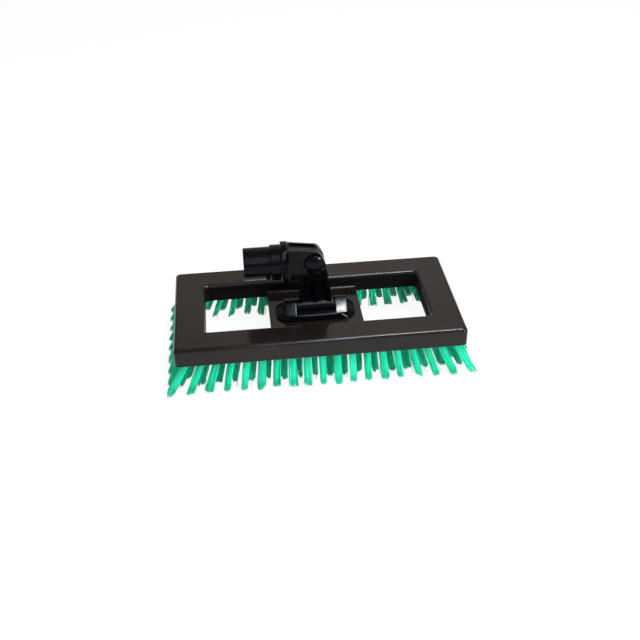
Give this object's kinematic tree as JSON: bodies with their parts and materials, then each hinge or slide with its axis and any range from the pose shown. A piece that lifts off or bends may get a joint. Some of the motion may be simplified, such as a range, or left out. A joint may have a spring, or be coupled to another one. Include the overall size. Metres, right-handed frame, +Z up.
{
  "type": "deck brush",
  "caption": "Open-frame deck scrubbing brush with splayed bristle tufts round a recessed bridge that carries a two-way swivel pole socket.",
  "frame": {"origin": "on the floor under the bristle tips, below the middle of the block", "axes": "+X along the block's length, away from the pole socket at rest; +Y towards the rear; +Z up from the floor"},
  "size_m": [0.273, 0.1364, 0.1062],
  "materials": {
    "block_plastic": "satin moulded polypropylene, brown-black",
    "hinge_plastic": "gloss moulded nylon, blue-black",
    "bristle_nylon": "extruded stiff polyester filament, bright green",
    "steel": "zinc-plated steel"
  },
  "bodies": {
    "head": {"brush_block": "block_plastic", "front_bristles": "bristle_nylon", "back_bristles": "bristle_nylon", "left_bristles": "bristle_nylon", "right_bristles": "bristle_nylon", "hinge_base": "hinge_plastic", "hinge_rod": "steel", "base_screw_1": "steel", "base_screw_2": "steel", "base_screw_3": "steel", "base_screw_4": "steel"},
    "neck": {"swivel_neck": "hinge_plastic"},
    "socket": {"pole_socket": "hinge_plastic", "swivel_pin": "hinge_plastic", "pin_retainer": "hinge_plastic"}
  },
  "joints": [
    {"name": "neck_tilt", "type": "hinge", "parent": "head", "child": "neck", "pos_m": [0, 0, 0.04], "axis": [1, 0, 0], "range_deg": [-55, 55]},
    {"name": "socket_swing", "type": "hinge", "parent": "neck", "child": "socket", "pos_m": [0, 0, 0.0878], "axis": [0, 1, 0], "range_deg": [0, 180]}
  ]
}
